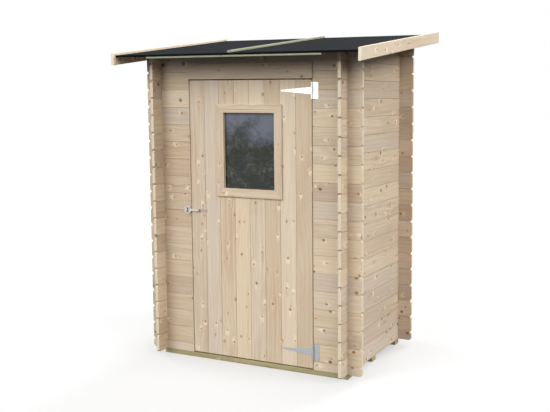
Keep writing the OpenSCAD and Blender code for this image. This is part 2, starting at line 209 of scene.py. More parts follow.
class Nodes:
    """Short way to place and link the nodes of a tree."""

    def __init__(self, tree):
        self.tree = tree

    def fill(self, node, sockets):
        """Links or sets some of a node's sockets and gives back its outputs."""
        for key, value in sockets.items():
            socket = node.inputs[key]
            if isinstance(value, bpy.types.NodeSocket):
                self.tree.links.new(value, socket)
            elif socket.type == "RGBA":
                socket.default_value = (*value, 1.0)
            else:
                socket.default_value = value
        return node.outputs

    def add(self, kind, sockets=None, **settings):
        """Places a node and gives back its outputs."""
        node = self.tree.nodes.new(kind)
        for key, value in settings.items():
            setattr(node, key, value)
        return self.fill(node, sockets or {})

    def here(self):
        """The piece's own coordinates."""
        return self.add("ShaderNodeTexCoord")["Object"]

    def parts(self, value, kind="XYZ"):
        """The three parts of a vector, or of a colour where kind is Color."""
        return self.add("ShaderNodeSeparate" + kind, {0: value})

    def flat(self, a, b):
        """A vector of two values."""
        return self.add("ShaderNodeCombineXYZ", {0: a, 1: b})[0]

    def math(self, op, *values, clamp=False):
        return self.add("ShaderNodeMath", dict(enumerate(values)), operation=op, use_clamp=clamp)[0]

    def times(self, first, *others):
        for value in others:
            first = self.math("MULTIPLY", first, value)
        return first

    def plus(self, a, b):
        return self.math("ADD", a, b)

    def less(self, a, b):
        return self.math("SUBTRACT", a, b)

    def scaled(self, value, factor, added, clamp=False):
        return self.math("MULTIPLY_ADD", value, factor, added, clamp=clamp)

    def distance(self, a, b):
        return self.math("SQRT", self.plus(self.times(a, a), self.times(b, b)))

    def wave(self, turns):
        """A sine that runs from 0 to 1."""
        return self.scaled(self.math("SINE", turns), 0.5, 0.5)

    def ramp(self, value, low, high, invert=False):
        """Runs from 0 to 1 between low and high, or from 1 to 0."""
        sockets = {"Value": value, "From Min": low, "From Max": high}
        sockets.update({"To Min": float(invert), "To Max": float(not invert)})
        return self.add("ShaderNodeMapRange", sockets, clamp=True)["Result"]

    def mix(self, share, a, b):
        return self.add("ShaderNodeMix", {0: share, 6: a, 7: b}, data_type="RGBA")[2]

    def layers(self, base, *rows):
        """Lays colours over base; each row is (pattern, share, colour)."""
        for pattern, share, shade in rows:
            base = self.mix(self.times(pattern, share), base, shade)
        return base

    def noise(self, vector, scale, detail=3.0, rough=0.55):
        sockets = {"Vector": vector, "Scale": scale, "Detail": detail, "Roughness": rough}
        return self.add("ShaderNodeTexNoise", sockets)["Fac"]

    def mapping(self, vector, scale, location=(0, 0, 0)):
        return self.add("ShaderNodeMapping", {"Vector": vector, "Scale": scale, "Location": location})[0]

    def drawn(self, vector, scale, detail, rough=0.55, location=(0, 0, 0)):
        """Noise stretched by its own scale on each axis."""
        return self.noise(self.mapping(vector, scale, location), 1.0, detail, rough)

    def cells(self, vector, scale, **settings):
        """One point in each cell of the surface."""
        sockets = {"Vector": vector, "Scale": scale}
        return self.add("ShaderNodeTexVoronoi", sockets, feature="F1", **settings)

    def bump(self, height, strength, distance, **under):
        """Relief; under is Normal, the relief below it."""
        sockets = {"Height": height, "Strength": strength, "Distance": distance, **under}
        return self.add("ShaderNodeBump", sockets)[0]


class Finish(Nodes):
    """The nodes of a new material."""

    def __init__(self, name):
        self.mat = bpy.data.materials.new(name)
        self.mat.use_nodes = True
        super().__init__(self.mat.node_tree)

    def surface(self, sockets):
        """Links or sets the shader's sockets and gives back the material."""
        self.fill(self.tree.nodes["Principled BSDF"], sockets)
        return self.mat


def shaded(shade, factor):
    return tuple(v * factor for v in shade)


def lifted(shade, factor, blue):
    """A paler colour, with its own factor for blue."""
    return (min(1.0, shade[0] * factor), min(1.0, shade[1] * factor), shade[2] * blue)


# ---------------------------------------------------------------- wood

KNOT_CELLS = 11.5       # knot cells to the metre
KNOT_DRAW = 0.85        # how far a cell is drawn out along the grain
PIN_CELLS = 34.0        # pin knot cells to the metre
KNOT_RADIUS = 0.0026    # of the smallest
KNOT_GROWTH = 0.0068    # what the largest adds to it
KNOT_RINGS = 3900.0     # ring phase to the metre in a knot
YEAR_RINGS = 260.0      # ring phase to the metre across a board
RING_WANDER = 34.0      # how far the year rings wander, as phase


def axis_map(n, axis):
    """Grain along one axis of a straight post or rail."""
    place = n.parts(n.here())
    first, second = [place[i] for i in range(3) if i != axis]
    return n.flat(place[axis], n.plus(first, n.times(second, 0.8)))


class Knots:
    """Knots along the grain, at most one in each cell, with what lies round them."""

    def __init__(self, n, vector, growth, size):
        self.n = n
        drawn = n.mapping(vector, (KNOT_DRAW, 1.0, 1.0))
        cell = n.cells(drawn, KNOT_CELLS, voronoi_dimensions="2D")
        offset = n.add("ShaderNodeVectorMath", {0: drawn, 1: cell["Position"]}, operation="SUBTRACT")
        x, self.over, _ = n.parts(offset[0])
        self.along = n.math("DIVIDE", x, KNOT_DRAW)     # along and over are metres from the heart
        chance, weight, self.lot = n.parts(cell["Color"], "Color")
        self.present = n.ramp(n.scaled(growth, 0.34, chance), 0.60, 0.63)
        odd = n.math("FRACT", n.times(weight, 7.7))
        shift = n.times(n.less(self.lot, 0.5), 0.022)
        radius = n.scaled(n.math("POWER", weight, 2.6), KNOT_GROWTH * size, KNOT_RADIUS)
        self.ragged = n.times(n.less(n.noise(vector, 130.0, 4.0, 0.65), 0.5), 0.010)
        edge = n.less(n.scaled(self.ragged, 0.40, self.reach(1.25)), radius)
        broken = n.scaled(n.ramp(n.noise(vector, 75.0, 2.0), 0.40, 0.60), 0.65, 0.35)
        self.heart = self.fade(edge, -0.0014, 0.0008)
        self.rim = self.fade(n.math("ABSOLUTE", edge), 0.0, 0.0020, broken)
        self.years = n.wave(n.times(edge, KNOT_RINGS))
        self.halo = self.fade(edge, 0.0, 0.0085)
        self.swirl = self.fade(self.reach(2.4), 0.006, 0.036)
        beside = n.scaled(n.math("SIGN", shift), 0.006, shift)
        self.flare = self.fade(self.pale_side(vector, beside), 0.0025, 0.0160, n.ramp(odd, 0.20, 0.65))
        smear = n.scaled(self.ragged, 2.0, self.reach(3.4, n.times(shift, -1.2)))
        self.smear = self.fade(smear, 0.001, 0.011, n.ramp(odd, 0.9, 0.3))
        self.pin = self.pins(vector)

    def fade(self, distance, near, far, *others):
        """Full up to near and gone at far, where there is a knot."""
        return self.n.times(self.n.ramp(distance, near, far, invert=True), self.present, *others)

    def reach(self, stretch, centre=None):
        """Distance from the heart, or from a centre along the grain, drawn out along the grain."""
        a = self.along if centre is None else self.n.less(self.along, centre)
        return self.n.distance(self.n.math("DIVIDE", a, stretch), self.over)

    def pale_side(self, vector, beside):
        """Warped distance from the pale grain on one side of a knot."""
        n = self.n
        warp = n.add("ShaderNodeTexNoise", {"Vector": vector, "Scale": 62.0, "Detail": 3.0})
        bend_along, bend_over, _ = n.parts(warp["Color"], "Color")
        a = n.scaled(n.less(bend_along, 0.5), 0.050, n.less(self.along, beside))
        b = n.scaled(n.less(bend_over, 0.5), 0.038, self.over)
        return n.distance(n.math("DIVIDE", a, 1.9), b)

    def pins(self, vector):
        """Small round knots between the large ones."""
        n = self.n
        cell = n.cells(vector, PIN_CELLS, voronoi_dimensions="2D")
        chance = n.parts(cell["Color"], "Color")[0]
        size = n.scaled(self.ragged, 0.25 * PIN_CELLS, cell["Distance"])
        return n.times(n.ramp(size, 0.03, 0.09, invert=True), n.ramp(chance, 0.88, 0.90))


def wood(name, light, dark, warm, cool, knot, axis=None, rough=0.62, knots=1.0, gloss=0.15, variety=0.9,
         stain_and_painted_shade=False):
    """Softwood along a board's own grain map, or along an axis; stained wood, and the roof boards' painted
    shade, keep to their own colours.
    """
    n = Finish(name)
    light, dark, warm, cool, knot = (tuple(shade) for shade in (light, dark, warm, cool, knot))
    gold = light if stain_and_painted_shade else tuple(colours().spruce_gold)
    resin = dark if stain_and_painted_shade else tuple(colours().resin)
    own = axis is None
    if own:
        vector = n.add("ShaderNodeUVMap", uv_map="grain")[0]
        tone = n.add("ShaderNodeAttribute", attribute_name="tone")
        tint, hue, end = n.parts(tone["Color"], "Color")
        growth = n.math("FRACT", n.scaled(tint, 7.3, n.times(hue, 3.1)))
        depth = n.math("FRACT", n.scaled(hue, 5.7, n.times(tint, 2.3)))
    else:
        vector = axis_map(n, axis)
        growth = 0.5
    k = Knots(n, vector, growth, knots)

    # the grain parts round a knot
    x, y, _ = n.parts(vector)
    lane = n.less(y, n.times(k.over, k.swirl, 0.7))
    grain = n.flat(x, lane)
    wander = n.drawn(grain, (1.2, 6.0, 1.0), 2.0)
    rings = n.wave(n.plus(n.times(lane, YEAR_RINGS), n.times(wander, RING_WANDER)))
    late = n.math("POWER", rings, 3.5)
    fibre = n.drawn(grain, (7.0, 460.0, 1.0), 4.0, 0.65)
    patch = n.drawn(vector, (2.2, 9.0, 1.0), 3.0)
    drift = n.drawn(vector, (1.3, 5.0, 1.0), 2.0, location=(7.0, 3.0, 0.0))
    streak = n.drawn(grain, (1.6, 62.0, 1.0), 3.0, 0.6)
    pencil = n.drawn(grain, (0.9, 130.0, 1.0), 2.0, location=(3.0, 5.0, 0.0))
    reddish = n.times(n.ramp(k.reach(11.0), 0.001, 0.014, invert=True), n.ramp(k.lot, 0.35, 0.65),
                      k.present, n.ramp(streak, 0.36, 0.58))
    loose = n.times(n.ramp(streak, 0.48, 0.66), n.ramp(drift, 0.44, 0.60))
    if own:
        loose = n.times(loose, n.ramp(growth, 0.45, 0.70))
    tinge = n.math("MAXIMUM", n.math("MAXIMUM", reddish, loose), n.times(k.smear, 0.8))
    core = n.mix(n.ramp(k.lot, 0.3, 1.0), knot, shaded(knot, 2.4))
    core = n.mix(n.times(k.years, 0.35), core, shaded(knot, 3.0))

    base = n.layers(light, (n.ramp(patch, 0.38, 0.66), 0.66, dark))
    if own:
        base = n.layers(
            base,
            (n.ramp(tint, 0.35, 1.0), 0.88 * variety, warm),
            (n.ramp(hue, 0.55, 0.95), 0.86 * variety, cool),
            (n.ramp(hue, 0.45, 0.05), 0.78 * variety, gold),
            (n.ramp(depth, 0.50, 1.0), 0.56, dark))
    base = n.layers(
        base,
        (n.ramp(drift, 0.50, 0.68), 0.60, warm),
        (n.ramp(streak, 0.50, 0.70), 0.50, dark),
        (n.ramp(pencil, 0.64, 0.68), 0.60, shaded(dark, 0.85)),
        (late, 0.32, dark),
        (n.ramp(fibre, 0.45, 0.75), 0.28, dark),
        (tinge, 0.38, resin))
    if own:
        base = n.layers(base, (n.ramp(depth, 0.40, 0.0), 0.45, lifted(light, 1.18, 1.12)))
    base = n.layers(
        base,
        (k.flare, 0.64, lifted(light, 1.30, 1.24)),
        (k.halo, 0.22, resin),
        (k.pin, 0.55, shaded(knot, 1.6)),
        (k.heart, 0.84, core),
        (k.rim, 0.55, shaded(knot, 0.9)))
    if own:
        pale = n.layers(light, (n.noise(n.here(), 240.0, 3.0), 0.5, dark))
        pale = n.mix(0.0 if stain_and_painted_shade else 0.20, pale, (0.95, 0.86, 0.70))
        base = n.mix(end, base, pale)
        base = n.mix(n.less(1.0, tone["Alpha"]), base, shaded(dark, 0.30))
    relief = n.bump(late, 0.18, 0.0003, Normal=n.bump(fibre, 0.35, 0.0004))
    return n.surface({
        "Base Color": base,
        "Roughness": n.scaled(fibre, 0.18, rough - 0.08),
        "Specular IOR Level": gloss,
        "Normal": n.bump(k.heart, 0.25, 0.0006, Normal=relief),
    })


def spruce_shades(lift=1.0):
    c = colours()
    return [tuple(min(1.0, v * lift) for v in shade)
            for shade in (c.spruce_light, c.spruce_dark, c.spruce_pink, c.spruce_grey)]


@functools.cache
def spruce(axis=None):
    """The walls' wood, or the same along an axis for posts and stops."""
    name = {None: "spruce", 0: "level_spruce", 2: "upright_spruce"}[axis]
    return wood(name, *spruce_shades(), colours().knot, axis=axis)


@functools.cache
def door_spruce():
    return wood("door_spruce", *spruce_shades(1.068), shaded(colours().knot, 1.6), knots=0.6, variety=1.08)


@functools.cache
def cream_wood():
    c = colours()
    return wood("planed_spruce", c.cream, c.spruce_light, c.spruce_light, c.spruce_grey, c.knot, knots=0.7)


def treated(name, light, dark):
    """Pressure-treated wood in two shades."""
    return wood(name, light, dark, light, dark, colours().knot, rough=0.72, knots=0.8, stain_and_painted_shade=True)


@functools.cache
def treated_wood():
    return treated("treated_wood", colours().treated_light, colours().treated_dark)


@functools.cache
def batten_wood():
    return treated("treated_battens", colours().batten_light, colours().batten_dark)


# painted shade: the roof boards are made near black to stand in for the deep shade under the roof
@functools.cache
def shade_painted_boards():
    painted_shade = tuple(colours().shade_painted_roof_boards)
    return wood("dark_roof_boards", painted_shade, shaded(painted_shade, 0.55), painted_shade, shaded(painted_shade, 0.8), shaded(painted_shade, 0.35),
                rough=0.85, knots=0.8, gloss=0.0, stain_and_painted_shade=True)


# ---------------------------------------------------------------- felt, metal and glass

@functools.cache
def roof_felt():
    n = Finish("roof_felt")
    here = n.here()
    grit = n.noise(here, 1500.0, 2.0)
    broad = n.noise(here, 5.0, 4.0)
    streak = n.drawn(here, (26.0, 2.2, 2.2), 3.0)
    felt = tuple(colours().felt)
    pale = tuple(min(1.0, v * 1.7 + 0.003) for v in felt)
    base = n.layers(
        n.mix(n.ramp(grit, 0.5, 0.72), felt, pale),
        (n.ramp(broad, 0.42, 0.7), 0.35, pale),
        (n.ramp(streak, 0.5, 0.8), 0.22, (0.024, 0.027, 0.029)))
    return n.surface({
        "Base Color": base,
        "Roughness": n.plus(n.times(broad, 0.12), 0.86),
        "Specular IOR Level": 0.03,
        "Normal": n.bump(broad, 0.3, 0.0015, Normal=n.bump(grit, 0.6, 0.0006)),
    })


def galvanized(name, tint, rough, metallic=0.75):
    """Hot-dipped steel: a soft spangle under a cloudy bloom."""
    n = Finish(name)
    here = n.here()
    tint = tuple(tint)
    flake = n.parts(n.cells(here, 260.0)["Color"], "Color")
    cloud = n.noise(here, 26.0, 4.0)
    base = n.layers(
        tint,
        (flake[0], 0.22, shaded(tint, 0.80)),
        (n.ramp(cloud, 0.45, 0.75), 0.35, shaded(tint, 0.90)))
    return n.surface({
        "Base Color": base,
        "Metallic": metallic,
        "Roughness": n.scaled(cloud, 0.1, n.scaled(flake[1], 0.08, rough)),
        "Normal": n.bump(cloud, 0.2, 0.0004),
    })


# painted highlight: the upper hinge's near-white zinc
@functools.cache
def zinc():
    return galvanized("galvanized_steel_painted_highlight", colours().zinc, 0.34, 0.50)


@functools.cache
def dull_zinc():
    return galvanized("weathered_zinc", colours().dull_zinc, 0.46)


@functools.cache
def strap_zinc():
    return galvanized("strap_zinc", colours().strap_zinc, 0.30, 0.85)


# painted reflection: the hasp base's purple-grey
@functools.cache
def reflection_tinted_zinc():
    return galvanized("reflection_tinted_zinc", colours().reflection_tinted_zinc, 0.50)


@functools.cache
def pane():
    """Dark glass under a thin uneven painted reflection: a pale blue-grey sky to the top, green trees below
    it.
    """
    n = Finish("window_pane")
    here = n.here()
    cloud = n.drawn(here, (5.0, 5.0, 7.0), 5.0, 0.65)
    level_z = n.scaled(n.less(cloud, 0.5), 0.55, n.parts(here)[2])
    high = n.ramp(level_z, GLASS[0].z + SKY_REFLECTION_FOOT, GLASS[1].z - SKY_REFLECTION_HEAD)
    mottle = n.ramp(n.noise(here, 24.0, 8.0, 0.82), 0.45, 0.64)
    sky_reflection = n.scaled(mottle, 0.42, high, clamp=True)
    specks = n.times(n.ramp(n.noise(here, 90.0, 4.0), 0.56, 0.80), 0.2)
    patches = n.ramp(n.noise(here, 11.0, 2.0), 0.40, 0.62)
    tree_reflection = n.times(n.ramp(n.noise(here, 40.0, 7.0, 0.80), 0.47, 0.60), patches,
                    n.math("SUBTRACT", 1.0, high, clamp=True))
    # painted reflection: sky to the top and trees below are laid over the glass, which lets less light
    # through where they lie
    base = n.mix(sky_reflection, tuple(colours().glass), tuple(colours().pane_sky_reflection))
    veil = n.math("ADD", n.scaled(sky_reflection, 0.35, 0.45), specks, clamp=True)
    return n.surface({
        "Base Color": n.layers(base, (tree_reflection, 0.75, tuple(colours().pane_tree_reflection))),
        "Transmission Weight": n.less(1.0, n.scaled(tree_reflection, 0.15, veil, clamp=True)),
        "Roughness": n.scaled(specks, 0.6, 0.03),
        "IOR": 1.45,
        "Normal": n.bump(n.noise(here, 3.0, 2.0), 0.05, 0.002),
    })


# ---------------------------------------------------------------- mesh helpers

SIDES = 8               # corners of a chamfered board's section


def board_mesh():
    """An empty mesh with its grain map and tone, which the wood finishes read."""
    bm = bmesh.new()
    return bm, bm.loops.layers.uv.new("grain"), bm.loops.layers.float_color.new("tone")


class Joinery:
    """Gathers boards into one mesh, each with its own grain map and tone."""

    def __init__(self, group):
        seed, chamfer, self.seam = GROUPS[group]
        self.chamfer = sizes().edge_chamfer if chamfer is None else chamfer
        self.bm = board_mesh()[0]
        self.rand = random.Random(seed)

    def plank(self, stations, place, cap=None):
        """stations: (u, v0, v1, w0, w1) along the grain; u is (at w0, at w1) where an end is mitred."""
        bm, uv, tone = board_mesh()
        shift = (self.rand.uniform(0, 40), self.rand.uniform(0, 40))
        mood = (self.rand.random(), self.rand.random())
        rings, flat = [], []
        for u, v0, v1, w0, w1 in stations:
            low, high = u if isinstance(u, tuple) else (u, u)
            c = min(self.chamfer, (v1 - v0) * 0.3, (w1 - w0) * 0.3)
            local = []
            for v, w in ((v0, w0 + c), (v0, w1 - c), (v0 + c, w1), (v1 - c, w1),
                         (v1, w1 - c), (v1, w0 + c), (v1 - c, w0), (v0 + c, w0)):
                if cap is not None:
                    w = min(w, cap(v))
                share = (w - w0) / (w1 - w0)
                local.append((low + (high - low) * share, v, w))
            rings.append([bm.verts.new(place(*point)) for point in local])
            flat.append(local)
        girth = [0.0]
        for i in range(SIDES):
            a, b = flat[0][i], flat[0][(i + 1) % SIDES]
            girth.append(girth[-1] + math.hypot(b[1] - a[1], b[2] - a[2]))

        def paint(face, coords, end, shade=0.0):
            for loop, (s, t) in zip(face.loops, coords):
                loop[uv].uv = (s + shift[0], t + shift[1])
                loop[tone] = (mood[0], mood[1], end, 1.0 - shade)

        for k in range(len(rings) - 1):
            near, far = flat[k], flat[k + 1]
            square = all(abs(p[0] - q[0]) < 1e-7 for p, q in zip(near, far))
            for i in range(SIDES):
                j = (i + 1) % SIDES
                face = bm.faces.new((rings[k][i], rings[k][j], rings[k + 1][j], rings[k + 1][i]))
                corners = (near[i], near[j], far[j], far[i])
                if square:
                    paint(face, [(p[1], p[2]) for p in corners], 1.0)
                else:
                    around = (girth[i], girth[i + 1], girth[i + 1], girth[i])
                    coords = [(p[0], g) for p, g in zip(corners, around)]
                    paint(face, coords, 0.0, self.seam if i % 2 else 0.0)
        for ring, local in ((rings[0], flat[0]), (rings[-1], flat[-1])):
            paint(bm.faces.new(ring), [(p[1], p[2]) for p in local], 1.0)
        bmesh.ops.remove_doubles(bm, verts=bm.verts, dist=WELD)
        bmesh.ops.recalc_face_normals(bm, faces=bm.faces)
        part = bpy.data.meshes.new("part")
        bm.to_mesh(part)
        bm.free()
        self.bm.from_mesh(part)
        bpy.data.meshes.remove(part)

    def straight(self, ends, section, place):
        """A board of one section, (v0, v1, w0, w1), between two ends."""
        self.plank([(u, *section) for u in ends], place)

    def slab(self, lo, hi, axis):
        """A straight board between two corners with its grain along axis."""
        a, b = [i for i in range(3) if i != axis]

        def place(u, v, w):
            point = [0.0, 0.0, 0.0]
            point[axis], point[a], point[b] = u, v, w
            return point
        self.straight((lo[axis], hi[axis]), (lo[a], hi[a], lo[b], hi[b]), place)

    def finish(self, name, material, body, slot, *nodes):
        """Turns what was gathered into one piece in place of nodes."""
        mesh = bpy.data.meshes.new(name)
        self.bm.to_mesh(mesh)
        self.bm.free()
        mesh.materials.append(material)
        return settle(name, mesh, body, slot, *nodes)


def settle(name, mesh, body, slot, *nodes):
    """Makes a piece of a mesh and ties it to the frame."""
    piece = bpy.data.objects.new(name, mesh)
    bpy.context.scene.collection.objects.link(piece)
    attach(piece, body)
    if nodes:
        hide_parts(*nodes)
    return piece


def dress(node, material):
    """Gives a frame node that stays a finished material."""
    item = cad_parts[node]
    if not item.material_slots:
        item.data.materials.append(None)
    for slot in item.material_slots:
        slot.link = "OBJECT"
        slot.material = material


def pitch():
    """Slope of the deck."""
    return (DECK[1].z - DECK[0].z - sizes().deck_thickness) / (DECK[1].y - DECK[0].y)


def deck_z(y):
    """Height of the deck's underside."""
    return DECK[0].z + pitch() * (y - DECK[0].y)


def level(u, v, w):
    """u runs across the front, v to the back, w up."""
    return (u, v, w)


def sideways(u, v, w):
    """u runs to the back, v across the front, w up."""
    return (v, u, w)


def upright(u, v, w):
    """u runs up, v to the back, w across the front."""
    return (w, v, u)


def pitched(u, v, w):
    """u runs up the roof, v across it, w stands above the deck's underside."""
    return (v, u, deck_z(u) + w)


def under_deck(u, v, w):
    """u runs across the front, v up the roof, w stands above the deck's underside."""
    return (u, v, deck_z(v) + w)


def strips(start, end, count):
    """Both edges of each of a row of equal boards."""
    step = (end - start) / count
    return [(start + i * step, start + (i + 1) * step) for i in range(count)]


def fitted(start, end, width):
    """Equal boards of about a given width."""
    return strips(start, end, max(1, round((end - start) / width)))


def between(start, end, shares):
    """Places that lie these shares of the way."""
    return [start + share * (end - start) for share in shares]


def evenly(start, end, margin, count):
    """Places at even distances, the outer ones a margin from the ends."""
    return [start + margin + (end - start - 2 * margin) * i / (count - 1) for i in range(count)]


# ---------------------------------------------------------------- walls

class Wall:
    """A wall's rows of boards, cut for the crossings, the doorway, the purlins and the roof."""

    def __init__(self, low, high, half_first, top_of, crossings, doorway=None, notches=()):
        self.low, self.high = low, high     # where the boards end
        self.half_first = half_first        # a half board lies on the skids
        self.top_of = top_of                # height of the roof over a place along the wall
        self.crossings = crossings          # (start, end) of the walls that cross
        self.doorway = doorway              # (start, end, height)
        self.notches = notches              # (start, end, depth) for the purlins

    def rows(self):
        """Bottom and top of each row, from the skids up."""
        cover = sizes().board_cover
        first = cover / 2 if self.half_first else 0
        rows = [(BASE_Z, BASE_Z + first)] if self.half_first else []
        z = BASE_Z + first
        while z < max(self.top_of(self.low), self.top_of(self.high)):
            rows.append((z, z + cover))
            z += cover
        return rows

    def marks(self, w0, w1):
        """Every place along a row where its outline may change."""
        bevel = sizes().end_bevel_length
        marks = {self.low, self.high, self.low + bevel, self.high - bevel}
        for opening in (*self.crossings, *self.notches, *([self.doorway] if self.doorway else [])):
            marks.update(opening[:2])
        top = self.top_of(self.low)
        slope = (self.top_of(self.high) - top) / (self.high - self.low)
        if abs(slope) > 1e-6:
            for z in (w0, w1, w1 - sizes().board_cover / 4):
                marks.add(self.low + (z - top) / slope)
            for a, b, drop in self.notches:
                under = [self.low + (z + drop - top) / slope for z in (w0, w1)]
                marks.update(u for u in under if a < u < b)
        return sorted(m for m in marks if self.low <= m <= self.high)

    def limits(self, u, mid, w0, w1, halved_below):
        """Bottom and top of a row at u, seen from mid's side of it."""
        s = sizes()
        lo, hi = w0, w1
        for a, b in self.crossings:
            if a < mid < b:
                lo += s.board_cover / 4 if halved_below else 0
                hi -= s.board_cover / 4
        reach = min(u - self.low, self.high - u)
        if reach < s.end_bevel_length:
            cut = s.end_bevel_height * (1 - reach / s.end_bevel_length)
            lo, hi = lo + cut, hi - cut
        if self.doorway and self.doorway[0] < mid < self.doorway[1]:
            lo = max(lo, self.doorway[2])
        top = self.top_of(u)
        for a, b, drop in self.notches:
            if a < mid < b:
                top -= drop
        return lo, min(hi, top)

    def boards(self, w0, w1, halved_below):
        """Each board of a row, as a list of (u, bottom, top)."""
        run = []
        marks = self.marks(w0, w1)
        for a, b in zip(marks, marks[1:]):
            if b - a < 1e-6:
                continue
            ends = [self.limits(u, (a + b) / 2, w0, w1, halved_below) for u in (a, b)]
            if max(hi - lo for lo, hi in ends) < LEAST_BOARD:
                yield run
                run = []
                continue
            for u, (lo, hi) in zip((a, b), ends):
                station = (u, lo, max(hi, lo + THIN_END))
                if not run or run[-1] != station:
                    run.append(station)
        yield run

    def lay(self, join, v0, v1, place, cap=None):
        """Adds the boards to join."""
        for index, (w0, w1) in enumerate(self.rows()):
            for run in self.boards(w0, w1, index > 0 or not self.half_first):
                if len(run) > 1:
                    join.plank([(u, v0, v1, lo, hi) for u, lo, hi in run], place, cap)


# ---------------------------------------------------------------- fasteners

def head_tree():
    """Flat-topped heads on points, turned to each point's facing."""
    if "fastener_heads" in bpy.data.node_groups:
        return bpy.data.node_groups["fastener_heads"]
    tree = bpy.data.node_groups.new("fastener_heads", "GeometryNodeTree")
    for name, kind in (("Geometry", "Geometry"), ("Head radius", "Float"), ("Head height", "Float"),
                       ("Material", "Material")):
        tree.interface.new_socket(name, in_out="INPUT", socket_type="NodeSocket" + kind)
    tree.interface.new_socket("Geometry", in_out="OUTPUT", socket_type="NodeSocketGeometry")
    n = Nodes(tree)
    given = n.add("NodeGroupInput")
    radius = given["Head radius"]
    cone = n.add("GeometryNodeMeshCone", {
        "Vertices": 12, "Radius Bottom": radius, "Radius Top": n.times(radius, 0.72),
        "Depth": given["Head height"]})
    facing = n.add("GeometryNodeInputNamedAttribute", {"Name": "facing"}, data_type="FLOAT_VECTOR")
    turned = n.add("FunctionNodeAlignRotationToVector", {"Vector": facing["Attribute"]}, axis="Z")
    spread = n.add("GeometryNodeInstanceOnPoints", {
        "Points": given["Geometry"], "Instance": cone["Mesh"], "Rotation": turned["Rotation"]})
    real = n.add("GeometryNodeRealizeInstances", {"Geometry": spread["Instances"]})
    painted = n.add("GeometryNodeSetMaterial", {
        "Geometry": real["Geometry"], "Material": given["Material"]})
    n.add("NodeGroupOutput", {"Geometry": painted["Geometry"]})
    return tree


def heads(name, points, radius, height, body, finish):
    """A set of fastener heads; points are (place, facing)."""
    mesh = bpy.data.meshes.new(name + "_points")
    mesh.from_pydata([place for place, _ in points], [], [])
    facing = mesh.attributes.new("facing", "FLOAT_VECTOR", "POINT")
    for item, (_, way) in zip(facing.data, points):
        item.vector = way
    source = bpy.data.objects.new(name + "_points", mesh)
    bpy.context.scene.collection.objects.link(source)
    modifier = source.modifiers.new("heads", "NODES")
    modifier.node_group = head_tree()
    socket = {i.name: i.identifier for i in head_tree().interface.items_tree if i.in_out == "INPUT"}
    modifier[socket["Head radius"]] = radius
    modifier[socket["Head height"]] = height
    modifier[socket["Material"]] = finish
    bpy.context.view_layer.update()
    graph = bpy.context.evaluated_depsgraph_get()
    result = bpy.data.meshes.new_from_object(source.evaluated_get(graph))
    if not result.polygons:
        raise RuntimeError(name + " made no heads")
    source.modifiers.clear()
    bpy.data.objects.remove(source)
    settle(name, result, body, "zinc")


def off_roof():
    """Square off the roof's slope."""
    return Vector((0, -pitch(), 1)).normalized()


def screws(name, places, body, finish):
    """Screw heads that face out of the front."""
    heads(name, [(place, OUT) for place in places], sizes().screw_radius, SCREW_RISE, body, finish)


# ---------------------------------------------------------------- pieces

class SHED_OT_base(bpy.types.Operator):
    """Skids and floor boards"""
    bl_idname = "shed.base"
    bl_label = "Base"

    def execute(self, context):
        join = Joinery("skids")
        names = ("skid_front", "skid_middle", "skid_rear")
        for name in names:
            join.slab(*span(name), 0)
        join.finish("skids", treated_wood(), "shed", "treated", *names)
        lo, hi = span("floor_boards")
        join = Joinery("floor")
        for x0, x1 in fitted(lo.x, hi.x, sizes().floor_board):
            join.slab((x0, lo.y, lo.z), (x1, hi.y, hi.z), 1)
        join.finish("floor", spruce(), "shed", "spruce", "floor_boards")
        return {"FINISHED"}


class SHED_OT_walls(bpy.types.Operator):
    """Wall boards, crossing in their halvings at the corners"""
    bl_idname = "shed.walls"
    bl_label = "Walls"

    def execute(self, context):
        self.front_and_back()
        self.sides()
        return {"FINISHED"}

    def front_and_back(self):
        crossings = ((-HALF_W, -HALF_W + BOARD_T), (HALF_W - BOARD_T, HALF_W))
        for name, (lo, hi), doorway, nodes in (
                ("front_boards", OVER, (-DOOR_HALF, DOOR_HALF, DOOR_TOP),
                 ("front_wall_left", "front_wall_right", "front_wall_over_door")),
                ("back_boards", BACK, None, ("back_wall",))):
            peak = deck_z(hi.y)
            join = Joinery(name)
            Wall(lo.x, hi.x, True, lambda u: peak, crossings, doorway).lay(
                join, lo.y, hi.y, level, cap=lambda v: deck_z(v) - BEDDING)
            join.finish(name, spruce(), "shed", "spruce", *nodes)

    def sides(self):
        crossings = ((FRONT_Y, FRONT_Y + BOARD_T), (BACK_Y - BOARD_T, BACK_Y))
        notches = [(span(p)[0].y, span(p)[1].y, sizes().purlin_height) for p in PURLINS]
        for name, node in (("left_boards", "left_wall"), ("right_boards", "right_wall")):
            lo, hi = span(node)
            join = Joinery(name)
            Wall(lo.y, hi.y, False, lambda u: deck_z(u) - BEDDING, crossings, notches=notches).lay(
                join, lo.x, hi.x, sideways)
            join.finish(name, spruce(), "shed", "spruce", node)


class SHED_OT_doorway(bpy.types.Operator):
    """Cover board, posts and head stop"""
    bl_idname = "shed.doorway"
    bl_label = "Doorway"

    def execute(self, context):
        join = Joinery("cover_board")
        join.slab(*span("door_cover_board"), 0)
        join.finish("cover_board", spruce(), "shed", "spruce", "door_cover_board")
        dress("door_post_left", spruce(axis=2))
        dress("door_post_right", spruce(axis=2))
        dress("door_head_stop", spruce(axis=0))
        return {"FINISHED"}


